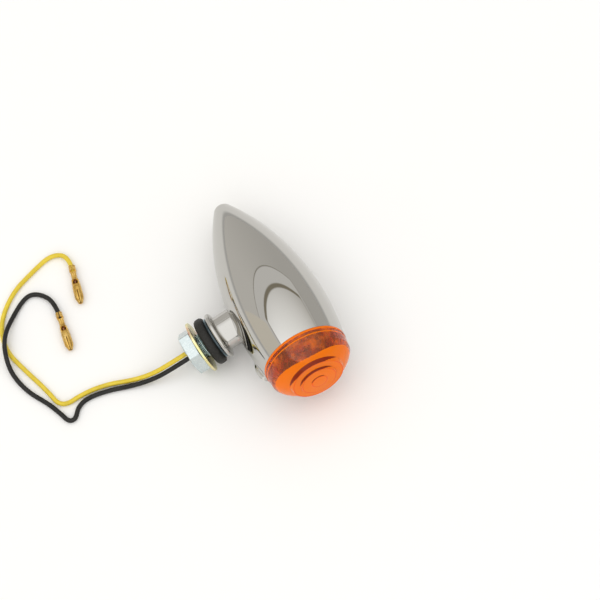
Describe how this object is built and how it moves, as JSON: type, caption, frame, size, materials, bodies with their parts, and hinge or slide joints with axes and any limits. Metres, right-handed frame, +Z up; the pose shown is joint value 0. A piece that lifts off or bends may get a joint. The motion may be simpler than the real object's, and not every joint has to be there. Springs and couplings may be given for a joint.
{
  "type": "turn signal indicator",
  "caption": "Chrome bullet-shaped turn signal lamp with an amber stepped lens, a threaded side stem with nut and washer, and two wires with bullet terminals.",
  "frame": {"origin": "centre of the lamp box at floor level, wires and terminals left out; the lamp lies on its belly and on the rim of its washer", "axes": "+Z up, the lens looks along -Y and slightly up, the stem points to -X and dips to the floor"},
  "size_m": [0.1437, 0.1302, 0.0459],
  "materials": {
    "chrome": "mirror bright chrome plating",
    "zinc_steel": "bright zinc plated steel",
    "yellow_zinc": "yellow passivated zinc plating",
    "spring_steel": "plain spring steel wire",
    "tungsten": "drawn tungsten wire",
    "brass": "plain brass, slightly dulled",
    "solder": "dull solder",
    "black_rubber": "matte moulded rubber",
    "amber_plastic": "clear amber acrylic, polished",
    "nylon": "natural nylon",
    "phenolic": "brown phenolic board",
    "clear_glass": "clear blown glass",
    "black_glass": "black glass insulator",
    "yellow_pvc": "yellow wire insulation, satin",
    "black_pvc": "black wire insulation, satin"
  },
  "bodies": {
    "housing": {"bullet_housing": "chrome", "chrome_stem": "chrome", "hollow_stud": "zinc_steel", "stem_lock_nut": "zinc_steel", "bulb_bracket": "zinc_steel", "bracket_screws": "zinc_steel", "socket_shell": "zinc_steel", "socket_base_disc": "phenolic", "contact_spring": "spring_steel", "earth_tag": "brass", "yellow_inner_lead": "yellow_pvc", "black_inner_lead": "black_pvc", "yellow_wire": "yellow_pvc", "black_wire": "black_pvc", "yellow_terminal": "brass", "black_terminal": "brass"},
    "ring": {"rubber_ring": "black_rubber"},
    "washer": {"flat_washer": "yellow_zinc"},
    "nut": {"jam_nut": "zinc_steel"},
    "lens": {"amber_lens": "amber_plastic", "lens_gasket": "black_rubber"},
    "pellet": {"screw_pellet": "nylon"},
    "set_screw": {"lens_set_screw": "zinc_steel"},
    "contact": {"contact_carrier": "phenolic", "centre_contact": "brass"},
    "bulb": {"bulb_cap": "brass", "cap_insulator": "black_glass", "solder_tip": "solder", "bulb_glass": "clear_glass", "filament_stem": "clear_glass", "filament_supports": "spring_steel", "bulb_filament": "tungsten"}
  },
  "joints": [
    {"name": "ring_slide", "type": "slide", "parent": "housing", "child": "ring", "axis": [-0.9707, -0.0291, -0.2384], "range_m": [0, 0.0019]},
    {"name": "washer_slide", "type": "slide", "parent": "housing", "child": "washer", "axis": [-0.9707, -0.0291, -0.2384], "range_m": [0, 0.0075]},
    {"name": "nut_turn", "type": "hinge", "parent": "washer", "child": "nut", "pos_m": [-0.02935, -0.00657, 0.01152], "axis": [-0.9707, -0.0291, -0.2384], "range_deg": [0, 2162]},
    {"name": "lens_off", "type": "slide", "parent": "housing", "child": "lens", "axis": [0, -0.9927, 0.121], "range_m": [0, 0.03]},
    {"name": "pellet_slide", "type": "slide", "parent": "housing", "child": "pellet", "axis": [-0.7436, 0.6158, -0.2604], "range_m": [0, 0.004]},
    {"name": "set_screw_turn", "type": "hinge", "parent": "pellet", "child": "set_screw", "pos_m": [-0.00479, -0.03392, 0.02098], "axis": [-0.7436, 0.6158, -0.2604], "range_deg": [0, 2882]},
    {"name": "contact_push", "type": "slide", "parent": "housing", "child": "contact", "axis": [0, 0.9927, -0.121], "range_m": [0, 0.0015], "stiffness_N_per_m": 3000, "springref_m": -0.002, "deforming": ["contact_spring"]},
    {"name": "bulb_turn", "type": "hinge", "parent": "contact", "child": "bulb", "pos_m": [0.01239, -0.0207, 0.02365], "axis": [0, -0.9927, 0.121], "range_deg": [0, 20]}
  ],
  "couplings": [
    {"joint": "nut_turn", "follows": "washer_slide", "rad_per_m": 5026.5},
    {"joint": "set_screw_turn", "follows": "pellet_slide", "rad_per_m": 12566}
  ]
}
